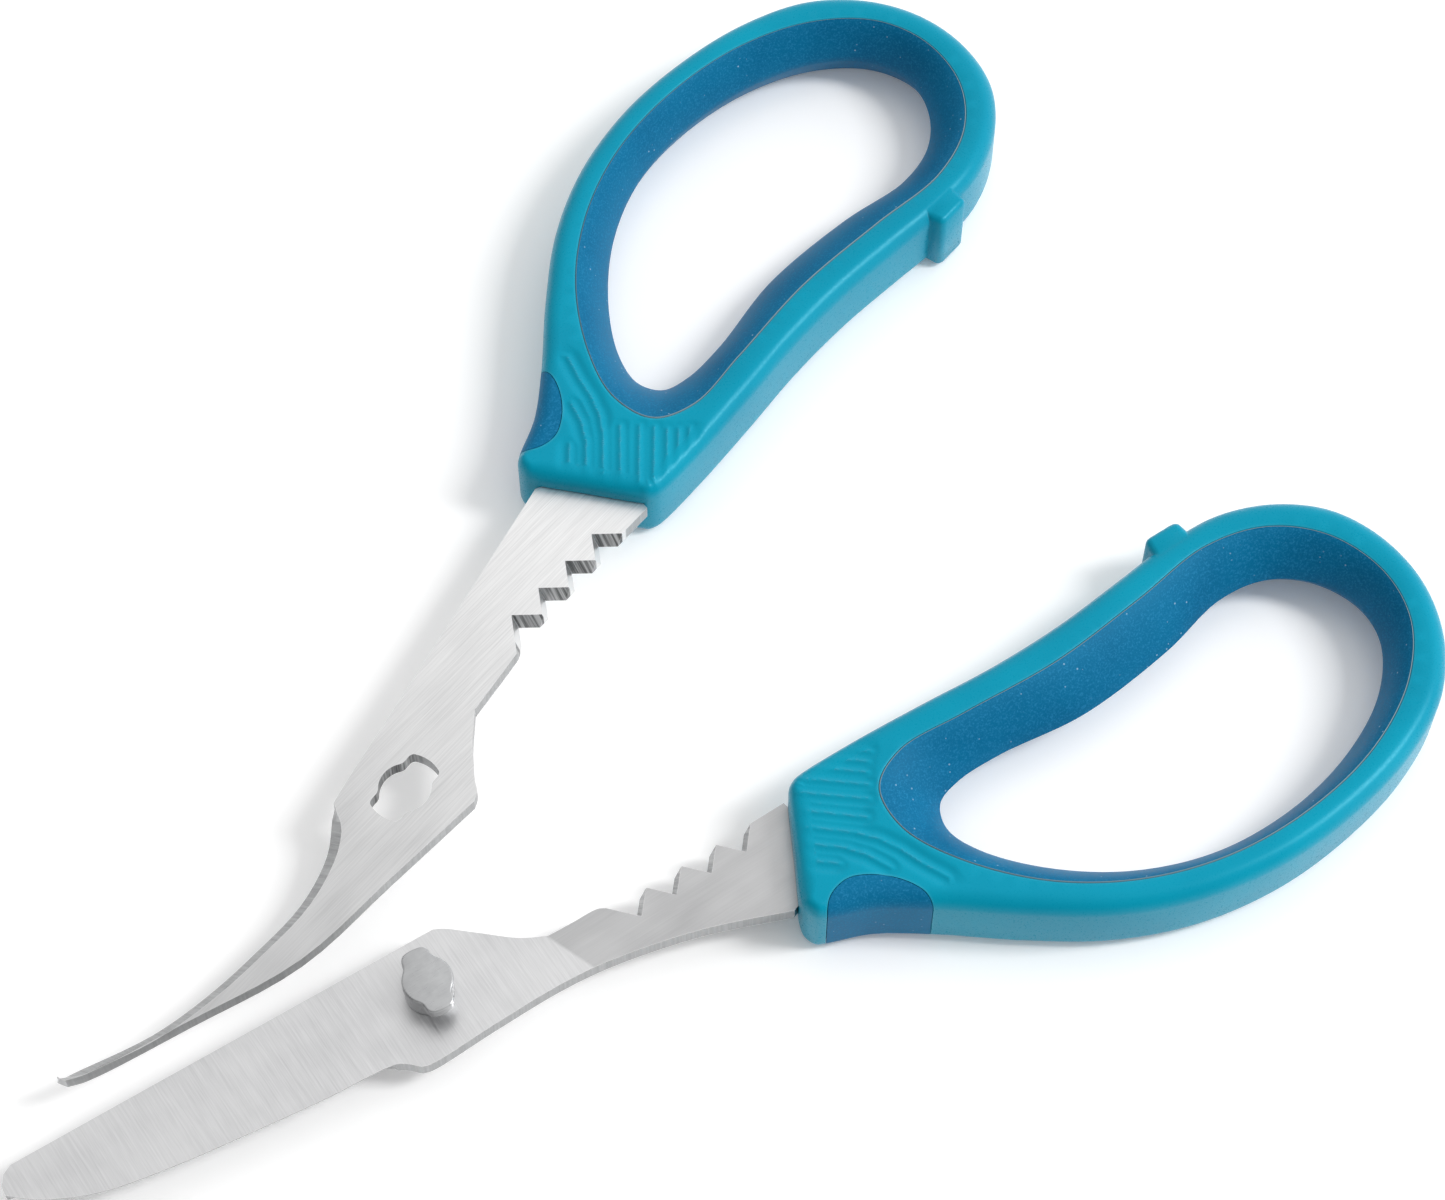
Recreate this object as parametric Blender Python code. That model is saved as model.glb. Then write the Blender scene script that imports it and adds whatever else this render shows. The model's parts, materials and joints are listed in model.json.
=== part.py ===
"""Take-apart poultry shears, lying on a table as two separate halves.

The stud half lies with its inner face up, the keyhole half with its outer face up. Each half is
modelled in its own frame: the origin is on the pivot axis at table height, +X runs from the pivot
towards the handles along the line the two halves close on, and the stud half's handle is at -Y.
Every size below is in millimetres, and the objects are built in metres, +Z up.
"""

import math

import bpy
from mathutils import Vector

# Overall sizes
OVERALL_LENGTH = 220.0
HANDLE_THICKNESS = 13.0
BLADE_THICKNESS = 2.5

# Where the two halves lie: pivot axis (x, y) and the turn of the closing line, in degrees
STUD_AXIS_AT = (-44.71, -70.42)
STUD_HALF_TURN = 34.1
KEYHOLE_AXIS_AT = (-49.31, -39.82)
KEYHOLE_HALF_TURN = 50.05

# Gaps between pieces
BLADE_GAP = 0.15
MOULD_GAP = 0.15
SEAM_GAP = 0.25
HEAD_GAP = 0.2

# Pivot stud, keyhole and washer
NECK_RADIUS = 3.5
SHANK_RADIUS = 3.0
HEAD_HUB_RADIUS = 3.65
HEAD_KEY_RADIUS = 5.1
HEAD_KEY_WIDTH = 50.0
HEAD_THICKNESS = 1.7
KEY_DIRECTION = 84.3
KEYHOLE_RADIUS = 3.85
KEYHOLE_LOBE_RADIUS = 5.5
KEYHOLE_LOBE_WIDTH = 58.0
KEYHOLE_DIRECTION = 3.4
LOBE_FLANK = 4.0
HEAD_CHAMFER = 0.35
WASHER_THICKNESS = 0.8
WASHER_RADIUS = 4.6
TAIL_RADIUS = 4.0
TAIL_THICKNESS = 1.1
TAIL_CROWN = ((0.0, 0.9), (0.35, 0.2))

# Blades
BEVEL_WIDTH = 1.8
BEVEL_START = 0.3
BEVEL_RAMP = 0.35
EDGE_LAND = 0.25
NOTCH_SPACING = 6.0
NOTCH_COUNT = 4
NOTCH_FIRST_AT = 31.0
NOTCHED_EDGE_AT = 3.3
NOTCH_DEPTH_ABOVE = 3.7
NOTCH_DEPTH_BELOW = 2.4
NOTCH_TIP_FLAT = 0.12

# Handle
EDGE_ROUND = 2.6
GRIP_CREST = 1.2
GRIP_SHOULDER = 0.75
RIB_SPACING = 2.3
RIB_GROOVE_RADIUS = 1.5
RIB_GROOVE_DEPTH = 0.45
RIB_TURN = 40.0
RIB_LENGTHS = (3.5, 6.0, 8.0, 9.5, 9.5, 8.5, 7.0, 5.0)
RIB_MIDDLE = (62.3, 12.5)
RIB_ROW_TURN = -45.0
RIB_GROOVE_WIDTH = 0.55
TAB_LENGTH = 6.4
TAB_MIDDLE_X = 127.9
TAB_ROUND = 1.2
TAB_CORNER = 0.35
TAB_INSET = 0.8
TAB_EDGE = 0.5
TAB_FLARE = 0.6
TAB_ROOT = 5.2
CLOSED_GAP = 0.15

# Outlines in the half's frame for the nominal length of 220 mm, stud half
NOMINAL_LENGTH = 220.0
HANDLE_OUTLINE = (
    (61.0, -2.9), (70.0, -2.9), (82.0, -3.5), (94.0, -4.3), (106.0, -4.2), (118.0, -3.1),
    (128.0, -2.1), (137.0, -2.5), (145.2, -5.7), (151.6, -11.4), (155.0, -19.5), (155.2, -28.5),
    (152.0, -37.2), (145.5, -44.6), (135.5, -49.6), (123.0, -52.4), (110.0, -53.0), (97.0, -50.8),
    (85.5, -46.0), (75.0, -38.9), (65.0, -31.0), (57.8, -26.1), (51.5, -23.5), (50.1, -22.5),
    (49.5, -20.8), (49.9, -19.1), (53.6, -12.3), (57.5, -5.2), (58.4, -3.9), (59.5, -3.2),
)
SEAM_OUTLINE = (
    (141.2, -8.8), (131.5, -6.3), (118.0, -7.9), (101.8, -9.4), (85.6, -8.7), (74.5, -8.4),
    (68.6, -11.6), (67.6, -18.5), (71.3, -26.9), (79.7, -36.8), (90.8, -44.1), (103.5, -48.2),
    (117.3, -48.9), (131.0, -46.4), (142.1, -40.7), (148.9, -32.9), (150.7, -24.2), (147.9, -15.1),
)
HOLE_OUTLINE = (
    (138.3, -13.6), (130.5, -12.4), (118.6, -14.9), (102.3, -16.4), (88.0, -14.8), (80.6, -14.9),
    (76.4, -16.4), (74.9, -20.2), (76.8, -25.6), (83.2, -33.3), (92.8, -40.4), (104.2, -44.7),
    (117.0, -45.5), (129.6, -43.1), (140.0, -37.9), (145.7, -31.2), (146.8, -24.3), (143.8, -17.8),
)
PAD_OUTLINE = (
    (51.6, -34.0), (50.9, -25.0), (53.0, -21.9), (56.6, -20.9), (60.0, -22.4), (63.0, -25.4),
    (64.6, -28.8), (64.4, -31.6), (62.4, -38.0),
)
STUD_BLADE_OUTLINE = (
    (57.8, -3.6), (28.2, -3.3), (26.4, -2.5), (22.4, -2.3), (18.4, -2.1), (14.9, -0.1),
    (10.4, 3.9), (6.8, 7.1), (5.4, 7.9), (-20.0, 8.9), (-45.0, 9.9), (-61.0, 10.5),
    (-62.5, 9.8), (-63.5, 8.4), (-63.7, 7.0),
    (-60.0, 3.8), (-52.8, 0.2), (-42.5, -2.2), (-31.5, -3.9), (-20.5, -5.4), (-9.8, -6.5),
    (-8.5, -7.2), (-6.8, -8.9), (-5.5, -9.3), (5.0, -9.2), (15.7, -9.3), (23.8, -10.2),
    (37.1, -13.5), (49.5, -18.4), (51.4, -17.6), (56.2, -14.4), (58.6, -16.6), (62.4, -16.4),
    (64.2, -14.4), (64.4, -10.0), (62.6, -7.2), (60.0, -8.0), (58.2, -6.0),
)
STUD_BLADE_EDGE = range(14, 21)
KEYHOLE_BLADE_OUTLINE = (
    (58.2, 6.0), (60.0, 8.0), (62.6, 7.2), (64.4, 10.0), (64.2, 14.4), (62.4, 16.4), (58.6, 16.6),
    (56.2, 14.4), (51.4, 17.6), (49.5, 18.6), (30.0, 14.4), (10.0, 10.1), (-6.6, 6.6),
    (-8.9, 5.9), (-14.5, 2.0), (-22.5, -0.4), (-32.6, -0.5), (-41.0, 0.1), (-50.3, 1.9),
    (-62.0, 6.6), (-63.7, 7.1), (-63.2, 5.6), (-60.8, 4.1), (-46.0, -1.3), (-29.2, -6.9),
    (-12.0, -8.1), (4.8, -9.1), (6.3, -8.3), (7.4, -6.9), (11.0, -3.2), (15.9, 0.7), (25.6, 2.0),
    (27.2, 2.3), (28.8, 3.3), (57.8, 3.6),
)
KEYHOLE_BLADE_EDGE = range(13, 21)

MM = 0.001
SCALE = OVERALL_LENGTH / NOMINAL_LENGTH
MID_PLANE = HANDLE_THICKNESS / 2
KEYHOLE_BLADE_FROM = MID_PLANE + BLADE_GAP
STUD_BLADE_FROM = MID_PLANE - BLADE_THICKNESS
HEAD_FROM = KEYHOLE_BLADE_FROM + BLADE_THICKNESS + HEAD_GAP
WASHER_FROM = STUD_BLADE_FROM - BLADE_GAP - WASHER_THICKNESS
TAIL_FROM = WASHER_FROM - BLADE_GAP - TAIL_THICKNESS
SHOULDER_AT = MID_PLANE + 0.1
OVERRUN = 2.0


def surface(name, colour, roughness, metallic):
    material = bpy.data.materials.new(name)
    material.use_nodes = True
    shader = material.node_tree.nodes["Principled BSDF"]
    shader.inputs["Base Color"].default_value = (*colour, 1.0)
    shader.inputs["Roughness"].default_value = roughness
    shader.inputs["Metallic"].default_value = metallic
    return material


# Curves and loops, in millimetres


def scaled(points):
    return [Vector((x * SCALE, y * SCALE)) for x, y in points]


def mirrored(loop):
    """The same loop across the closing line, still running the same way round."""
    return [Vector((p.x, -p.y)) for p in reversed(loop)]


def anticlockwise(loop):
    pairs = zip(loop, loop[1:] + loop[:1])
    area = sum(a.x * b.y - b.x * a.y for a, b in pairs)
    return loop if area > 0 else loop[::-1]


def between(a, b, start, end, at):
    return a * ((end - at) / (end - start)) + b * ((at - start) / (end - start))


def spline(points, steps):
    """A closed centripetal Catmull-Rom curve through the points."""
    loop = []
    count = len(points)
    for i in range(count):
        p = [points[(i + k) % count] for k in (-1, 0, 1, 2)]
        t = [0.0]
        for a, b in zip(p, p[1:]):
            t.append(t[-1] + math.sqrt((b - a).length))
        for step in range(steps):
            at = t[1] + (t[2] - t[1]) * step / steps
            first = [between(p[k], p[k + 1], t[k], t[k + 1], at) for k in range(3)]
            second = [between(first[k], first[k + 1], t[k], t[k + 2], at) for k in range(2)]
            loop.append(between(second[0], second[1], t[1], t[2], at))
    return loop


def inward(loop):
    """A unit vector at each point of an anticlockwise loop, square to it and pointing inside."""
    normals = []
    for i, point in enumerate(loop):
        along = (loop[(i + 1) % len(loop)] - point).normalized()
        along += (point - loop[i - 1]).normalized()
        along.normalize()
        normals.append(Vector((-along.y, along.x)))
    return normals


def inset(loop, distance):
    return [p + n * distance for p, n in zip(loop, inward(loop))]


def polar(radius, degrees):
    turn = math.radians(degrees)
    return Vector((radius * math.cos(turn), radius * math.sin(turn)))


def circle(radius, count):
    return [polar(radius, 360.0 * i / count) for i in range(count)]


def keyed(hub, lobe, width, direction):
    """A round hub with two opposite lobes, each this many degrees wide."""
    loop = []
    step = (180.0 - width - 2 * LOBE_FLANK) / 8
    for side in (direction, direction + 180.0):
        loop += [polar(lobe, side + width * k / 6) for k in range(-3, 4)]
        loop += [polar(hub, side + width / 2 + LOBE_FLANK + step * k) for k in range(9)]
    return loop


def resized(loop, radius):
    return [p.normalized() * radius for p in loop]


# Solids


def add_object(name, points, faces, material=None, parent=None, smooth=True):
    mesh = bpy.data.meshes.new(name)
    mesh.from_pydata([(x * MM, y * MM, z * MM) for x, y, z in points], [], faces)
    mesh.validate()
    mesh.update()
    obj = bpy.data.objects.new(name, mesh)
    bpy.context.scene.collection.objects.link(obj)
    obj.parent = parent
    if material:
        mesh.materials.append(material)
        mesh.shade_smooth() if smooth else mesh.shade_flat()
        mesh.set_sharp_from_angle(angle=math.radians(35))
    else:
        obj.hide_render = True
        obj.display_type = "WIRE"
    return obj


def stack(levels):
    """Points and faces of a solid with flat ends from (height, loop) levels, lowest first."""
    count = len(levels[0][1])
    points = [(p.x, p.y, z) for z, loop in levels for p in loop]
    faces = [tuple(reversed(range(count)))]
    for level in range(len(levels) - 1):
        low = level * count
        for i in range(count):
            j = (i + 1) % count
            faces.append((low + i, low + j, low + count + j, low + count + i))
    faces.append(tuple(range((len(levels) - 1) * count, len(levels) * count)))
    return points, faces


def room_for_edge(loop, radius):
    """The edge radius at each point, smaller where the outline itself turns tightly."""
    room = []
    for i, point in enumerate(loop):
        before, after = point - loop[i - 1], loop[(i + 1) % len(loop)] - point
        turn = math.atan2(before.cross(after), before.dot(after))
        reach = (before.length + after.length) / 2
        room.append(min(radius, 0.7 * reach / turn) if turn > 1e-6 else radius)
    count = len(room)
    for _ in range(2):
        room = [min(room[i - 1], room[i], room[(i + 1) % count]) for i in range(count)]
    for _ in range(3):
        room = [(room[i - 1] + room[i] + room[(i + 1) % count]) / 3 for i in range(count)]
    return room


def rounded_slab(loop, thickness, radius, steps=4):
    """A slab with both its edges rounded over."""
    levels = []
    normals, room = inward(loop), room_for_edge(loop, radius)
    for k in range(steps + 1):
        turn = math.pi / 2 * k / steps
        share = 1 - math.cos(turn)
        ring = [p + n * r * share for p, n, r in zip(loop, normals, room)]
        levels.append((radius * (1 - math.sin(turn)), ring))
    lower = sorted(levels, key=lambda level: level[0])
    upper = [(thickness - z, ring) for z, ring in reversed(lower)]
    return stack(lower + upper)


def boolean(target, operation, other):
    modifier = target.modifiers.new(f"{operation}_{other.name}"[:60], "BOOLEAN")
    modifier.operation = operation
    modifier.solver = "EXACT"
    modifier.object = other


def prism(name, loop, low, high, parent):
    return add_object(name, *stack([(low, loop), (high, loop)]), parent=parent)


def axis_frame(name, position, turn):
    frame = bpy.data.objects.new(name, None)
    bpy.context.scene.collection.objects.link(frame)
    frame.location = (position[0] * MM, position[1] * MM, 0.0)
    frame.rotation_euler = (0.0, 0.0, math.radians(turn))
    return frame


# Pieces


def add_handle(prefix, frame, side, blade_loop, blade_from, shell, rubber):
    """The hard shell, the soft grip round the finger hole and the soft pad, side -1 or +1."""

    def placed(points):
        loop = anticlockwise(scaled(points))
        return loop if side < 0 else mirrored(loop)

    outline = spline(placed(HANDLE_OUTLINE), 3)
    seam = spline(placed(SEAM_OUTLINE), 4)
    hole = spline(placed(HOLE_OUTLINE), 4)
    pad_loop = spline(placed(PAD_OUTLINE), 3)
    slab = rounded_slab(outline, HANDLE_THICKNESS, EDGE_ROUND)

    body = add_object(f"{prefix}_handle_shell", *slab, shell, frame)
    boolean(body, "UNION", add_tab(f"{prefix}_tab_shape", side, frame))
    low, high = -OVERRUN, HANDLE_THICKNESS + OVERRUN
    boolean(body, "DIFFERENCE", prism(f"{prefix}_seam_cut", seam, low, high, frame))
    pad_cut = inset(pad_loop, -SEAM_GAP)
    boolean(body, "DIFFERENCE", prism(f"{prefix}_pad_cut", pad_cut, low, high, frame))
    pad = add_object(f"{prefix}_outer_pad", *slab, rubber, frame)
    boolean(pad, "INTERSECT", prism(f"{prefix}_pad_shape", pad_loop, low, high, frame))
    pocket = inset(blade_loop, -MOULD_GAP)
    low, high = blade_from - MOULD_GAP, blade_from + BLADE_THICKNESS + MOULD_GAP
    boolean(body, "DIFFERENCE", prism(f"{prefix}_tang_cut", pocket, low, high, frame))
    boolean(body, "DIFFERENCE", add_rib_grooves(f"{prefix}_rib_cut", side, frame))

    add_grip(f"{prefix}_finger_grip", inset(seam, SEAM_GAP), hole, rubber, frame)


def add_tab(name, side, frame):
    """The stop on the facing side of the handle, which meets the other half's when they close."""
    half, face = TAB_LENGTH / 2, CLOSED_GAP
    right = (
        (half + TAB_FLARE, TAB_ROOT), (half, face + TAB_ROUND),
        (half - TAB_CORNER, face + TAB_CORNER), (half - TAB_ROUND, face),
    )
    profile = right + tuple((-x, y) for x, y in reversed(right))
    loop = anticlockwise([Vector((TAB_MIDDLE_X * SCALE + x, side * y)) for x, y in profile])
    levels = [(TAB_INSET, inset(loop, TAB_EDGE)), (TAB_INSET + TAB_EDGE, loop)]
    levels += [(HANDLE_THICKNESS - z, ring) for z, ring in reversed(levels)]
    return add_object(name, *stack(levels), parent=frame)


def add_rib_grooves(name, side, frame):
    """Shallow grooves on both faces of the collar that leave the thumb ribs standing between them."""
    points, faces = [], []
    across, along = polar(1.0, RIB_ROW_TURN), polar(1.0, RIB_TURN)
    beside = Vector((-along.y, along.x)) * RIB_GROOVE_WIDTH
    for i, length in enumerate(RIB_LENGTHS):
        offset = (i - (len(RIB_LENGTHS) - 1) / 2) * RIB_SPACING
        middle = Vector(RIB_MIDDLE) * SCALE + across * offset
        for height in (0.0, HANDLE_THICKNESS):
            rise = RIB_GROOVE_RADIUS - RIB_GROOVE_DEPTH
            centre_z = height + (rise if height else -rise)
            start = len(points)
            rings, sides = 6, 8
            for r in range(rings + 1):
                phi = math.pi * r / rings
                for s in range(sides):
                    psi = math.tau * s / sides
                    far = -math.cos(phi) * (length / 2 + RIB_GROOVE_RADIUS)
                    thin = math.sin(phi) * RIB_GROOVE_RADIUS
                    spot = middle + along * far + beside * (thin * math.cos(psi))
                    if r in (0, rings) and s:
                        continue
                    points.append((spot.x, side * spot.y, centre_z + thin * math.sin(psi)))
            last = len(points) - 1
            for s in range(sides):
                t = (s + 1) % sides
                low = start + 1
                faces.append((start, low + t, low + s))
                for r in range(rings - 2):
                    ring = low + r * sides
                    faces.append((ring + s, ring + t, ring + sides + t, ring + sides + s))
                ring = low + (rings - 2) * sides
                faces.append((last, ring + s, ring + t))
    if side < 0:
        faces = [tuple(reversed(face)) for face in faces]
    return add_object(name, points, faces, parent=frame)


def add_grip(name, seam, hole, material, frame):
    """The soft lining: flush with both faces at the seam and swelling to a crest in the hole."""
    steps = 12
    count = len(seam)
    points, faces = [], []
    for outer, inner in zip(seam, hole):
        for k in range(steps + 1):
            rise = math.sin(math.pi * (k / steps - 0.5))
            swell = max(0.0, 1 - abs(rise) ** GRIP_CREST) ** GRIP_SHOULDER
            spot = outer.lerp(inner, swell)
            points.append((spot.x, spot.y, MID_PLANE + MID_PLANE * rise))
    ring = steps + 1
    for i in range(count):
        j = (i + 1) % count
        for k in range(ring):
            m = (k + 1) % ring
            faces.append((i * ring + k, i * ring + m, j * ring + m, j * ring + k))
    add_object(name, points, faces, material, frame)


def add_blade(name, loop, edge, inner_z, outward, material, frame):
    """A flat blade whose cutting edge is bevelled on the outer face. Outward is +1 or -1 in z."""
    narrowed = list(loop)
    normals = inward(loop)
    for place, i in enumerate(edge):
        share = min(1.0, BEVEL_START + BEVEL_RAMP * min(place, len(edge) - 1 - place))
        narrowed[i] = loop[i] + normals[i] * BEVEL_WIDTH * share
    levels = [
        (inner_z, loop),
        (inner_z + outward * EDGE_LAND, loop),
        (inner_z + outward * BLADE_THICKNESS, narrowed),
    ]
    if outward < 0:
        levels.reverse()
    return add_object(name, *stack(levels), material, frame, smooth=False)


def add_notches(name, side, low, frame):
    """One saw-toothed cutter: square V notches that are deeper on the blade's upper face."""
    mouth = NOTCHED_EDGE_AT * SCALE
    spacing = NOTCH_SPACING * SCALE
    slope = (NOTCH_DEPTH_ABOVE - NOTCH_DEPTH_BELOW) / BLADE_THICKNESS
    levels = []
    for z in (-1.0, BLADE_THICKNESS + 1.0):
        depth = NOTCH_DEPTH_BELOW + slope * z
        between_notches = min(depth, (spacing - NOTCH_TIP_FLAT) / 2)
        loop = []
        for i in range(NOTCH_COUNT):
            middle = NOTCH_FIRST_AT * SCALE + i * spacing
            before = depth if i == 0 else between_notches
            after = depth if i == NOTCH_COUNT - 1 else between_notches
            loop.append(Vector((middle - before, side * (mouth + depth - before))))
            loop.append(Vector((middle, side * (mouth + depth))))
            loop.append(Vector((middle + after, side * (mouth + depth - after))))
        ends = (loop[-1].x, loop[0].x)
        loop += [Vector((x, side * (mouth - OVERRUN))) for x in ends]
        levels.append((low + z, anticlockwise(loop)))
    return add_object(name, *stack(levels), parent=frame)


def add_stud(name, material, frame):
    head = keyed(HEAD_HUB_RADIUS, HEAD_KEY_RADIUS, HEAD_KEY_WIDTH, KEY_DIRECTION)
    top = HEAD_FROM + HEAD_THICKNESS
    levels = [(TAIL_FROM + up, resized(head, TAIL_RADIUS - less)) for up, less in TAIL_CROWN]
    levels += [
        (TAIL_FROM + TAIL_THICKNESS, resized(head, TAIL_RADIUS)),
        (TAIL_FROM + TAIL_THICKNESS, resized(head, SHANK_RADIUS)),
        (SHOULDER_AT, resized(head, SHANK_RADIUS)),
        (SHOULDER_AT, resized(head, NECK_RADIUS)),
        (HEAD_FROM, resized(head, NECK_RADIUS)),
        (HEAD_FROM, head),
        (top - HEAD_CHAMFER, head),
        (top, [p * ((p.length - HEAD_CHAMFER) / p.length) for p in head]),
    ]
    return add_object(name, *stack(levels), material, frame)


def add_washer(name, material, frame):
    outer, bore = circle(WASHER_RADIUS, 48), circle(SHANK_RADIUS + BLADE_GAP, 48)
    levels = [(WASHER_FROM, outer), (WASHER_FROM + WASHER_THICKNESS, outer)]
    washer = add_object(name, *stack(levels), material, frame)
    boolean(washer, "DIFFERENCE", prism("washer_bore", bore, 0, MID_PLANE, frame))


def main():
    for obj in list(bpy.data.objects):
        bpy.data.objects.remove(obj)

    grey = (0.62, 0.62, 0.63)
    blade_steel = [surface(f"{half}_blade_steel", grey, 0.32, 1.0) for half in ("stud", "keyhole")]
    stud_steel = surface("stud_steel", (0.58, 0.58, 0.59), 0.38, 1.0)
    washer_steel = surface("washer_steel", (0.55, 0.55, 0.56), 0.42, 1.0)
    stud_frame = axis_frame("stud_half_axis", STUD_AXIS_AT, STUD_HALF_TURN)
    keyhole_frame = axis_frame("keyhole_half_axis", KEYHOLE_AXIS_AT, KEYHOLE_HALF_TURN)

    stud_loop = scaled(STUD_BLADE_OUTLINE)
    edge = STUD_BLADE_EDGE
    blade = add_blade("stud_blade", stud_loop, edge, MID_PLANE, -1, blade_steel[0], stud_frame)
    notches = add_notches("stud_notch_cut", -1, STUD_BLADE_FROM, stud_frame)
    boolean(blade, "DIFFERENCE", notches)
    bore = circle(SHANK_RADIUS + BLADE_GAP, 48)
    boolean(blade, "DIFFERENCE", prism("stud_bore", bore, 0, HANDLE_THICKNESS, stud_frame))
    add_stud("pivot_stud", stud_steel, stud_frame)
    add_washer("stud_washer", washer_steel, stud_frame)

    keyhole_loop = scaled(KEYHOLE_BLADE_OUTLINE)
    start = KEYHOLE_BLADE_FROM
    edge = KEYHOLE_BLADE_EDGE
    blade = add_blade("keyhole_blade", keyhole_loop, edge, start, 1, blade_steel[1], keyhole_frame)
    boolean(blade, "DIFFERENCE", add_notches("keyhole_notch_cut", 1, start, keyhole_frame))
    opening = keyed(KEYHOLE_RADIUS, KEYHOLE_LOBE_RADIUS, KEYHOLE_LOBE_WIDTH, KEYHOLE_DIRECTION)
    boolean(blade, "DIFFERENCE", prism("keyhole_cut", opening, 0, HANDLE_THICKNESS, keyhole_frame))

    teal, blue = (0.0, 0.30, 0.43), (0.01, 0.11, 0.24)
    shells = [surface(f"{half}_hard_plastic", teal, 0.35, 0.0) for half in ("stud", "keyhole")]
    rubbers = [surface(f"{half}_soft_grip", blue, 0.55, 0.0) for half in ("stud", "keyhole")]
    handle = ("stud", stud_frame, -1, stud_loop, STUD_BLADE_FROM)
    add_handle(*handle, shells[0], rubbers[0])
    add_handle("keyhole", keyhole_frame, 1, keyhole_loop, start, shells[1], rubbers[1])


main()
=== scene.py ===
import json
import math

import bpy
import numpy as np
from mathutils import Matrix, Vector
from mathutils.geometry import delaunay_2d_cdt


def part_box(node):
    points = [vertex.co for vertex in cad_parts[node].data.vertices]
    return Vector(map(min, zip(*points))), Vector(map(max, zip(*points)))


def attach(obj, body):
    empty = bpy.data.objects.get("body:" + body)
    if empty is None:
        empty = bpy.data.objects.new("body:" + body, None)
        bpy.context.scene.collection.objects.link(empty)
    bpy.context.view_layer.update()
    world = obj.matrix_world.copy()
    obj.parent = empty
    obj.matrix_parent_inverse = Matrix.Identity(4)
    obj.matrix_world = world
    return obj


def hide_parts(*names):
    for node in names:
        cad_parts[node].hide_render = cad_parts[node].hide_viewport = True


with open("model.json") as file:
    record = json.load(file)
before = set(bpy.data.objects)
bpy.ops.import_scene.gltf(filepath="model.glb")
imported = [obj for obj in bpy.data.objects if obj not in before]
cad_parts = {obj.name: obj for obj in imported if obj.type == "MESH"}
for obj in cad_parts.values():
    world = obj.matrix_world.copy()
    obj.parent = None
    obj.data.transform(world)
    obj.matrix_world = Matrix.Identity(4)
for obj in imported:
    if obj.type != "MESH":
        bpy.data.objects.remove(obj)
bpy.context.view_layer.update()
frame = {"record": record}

# Sizes in millimetres, in each half's own frame: the origin is on the pivot axis at table height and
# +X runs along the line that the two halves close on. Side is -1 for the stud half and +1 for the
# keyhole half, whose handle is the mirror image.
MM = 0.001
HANDLE_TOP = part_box("stud_handle_shell")[1].z / MM
MID_PLANE = HANDLE_TOP / 2
STUD_BLADE_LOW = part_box("stud_blade")[0].z / MM
KEYHOLE_BLADE_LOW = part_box("keyhole_blade")[0].z / MM
BLADE_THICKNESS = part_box("stud_blade")[1].z / MM - STUD_BLADE_LOW
HEAD_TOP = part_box("pivot_stud")[1].z / MM
TAIL_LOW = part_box("pivot_stud")[0].z / MM
WASHER_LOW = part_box("stud_washer")[0].z / MM
WASHER_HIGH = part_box("stud_washer")[1].z / MM
WASHER_RADIUS = (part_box("stud_washer")[1].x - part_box("stud_washer")[0].x) / 2 / MM
STUD_TURN = math.radians(34.1)
KEYHOLE_TURN = math.radians(50.05)

EDGE_ROUND = 2.6
SEAM_ROUND = 0.14
SEAM_WIDTH = 0.04
PAD_SEAM = 0.1
MOULD_GAP = 0.15
GRIP_CREST = 1.2
GRIP_SHOULDER = 0.75
BEVEL_WIDTH = 1.8
EDGE_LAND = 0.25
BEVEL_RAMP = 4.0
NECK_RADIUS = 3.5
SHANK_RADIUS = 3.0
HEAD_HUB_RADIUS = 3.65
HEAD_KEY_RADIUS = 5.1
HEAD_KEY_WIDTH = 50.0
HEAD_THICKNESS = 1.7
KEY_DIRECTION = 84.3
KEYHOLE_RADIUS = 3.85
KEYHOLE_LOBE_RADIUS = 5.5
KEYHOLE_LOBE_WIDTH = 58.0
KEYHOLE_DIRECTION = 3.4
OPENING_REACH = KEYHOLE_LOBE_RADIUS + 0.7
TAIL_RADIUS = 4.0
TAIL_CROWN = 0.12
BORE_GAP = 0.15
HEAD_ROUND = 0.3
SOFT_EDGE = 0.12
CUTTER_REACH = 2.0

NOTCH_COUNT = 4
FIRST_NOTCH_AT = 31.0
NOTCH_SPACING = 6.0
NOTCHED_EDGE_AT = 3.3
NOTCH_DEPTH_ABOVE = 3.7
NOTCH_DEPTH_BELOW = 2.4
NOTCH_REACH = 9.0

# The camera, in metres and degrees: where it is aimed, how far off it is and how high it looks down
CAMERA_AIM = (-0.00365, -0.00395, 0.0)
CAMERA_DISTANCE = 0.549
CAMERA_ELEVATION = 61.0
CAMERA_LENS = 90.8
CAMERA_SENSOR = 36.0

HANDLE_OUTLINE = (
    (61.0, -2.9), (70.0, -2.9), (82.0, -3.5), (94.0, -4.3), (106.0, -4.2), (118.0, -3.1),
    (128.0, -2.1), (137.0, -2.5), (145.2, -5.7), (151.6, -11.4), (155.0, -19.5), (155.2, -28.5),
    (152.0, -37.2), (145.5, -44.6), (135.5, -49.6), (123.0, -52.4), (110.0, -53.0), (97.0, -50.8),
    (85.5, -46.0), (75.0, -38.9), (65.0, -31.0), (57.8, -26.1), (51.5, -23.5), (50.1, -22.5),
    (49.5, -20.8), (49.9, -19.1), (53.6, -12.3), (57.5, -5.2), (58.4, -3.9), (59.5, -3.2),
)
SEAM_OUTLINE = (
    (141.2, -8.8), (131.5, -6.3), (118.0, -7.9), (101.8, -9.4), (85.6, -8.7), (74.5, -8.4),
    (68.6, -11.6), (67.6, -18.5), (71.3, -26.9), (79.7, -36.8), (90.8, -44.1), (103.5, -48.2),
    (117.3, -48.9), (131.0, -46.4), (142.1, -40.7), (148.9, -32.9), (150.7, -24.2), (147.9, -15.1),
)
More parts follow.
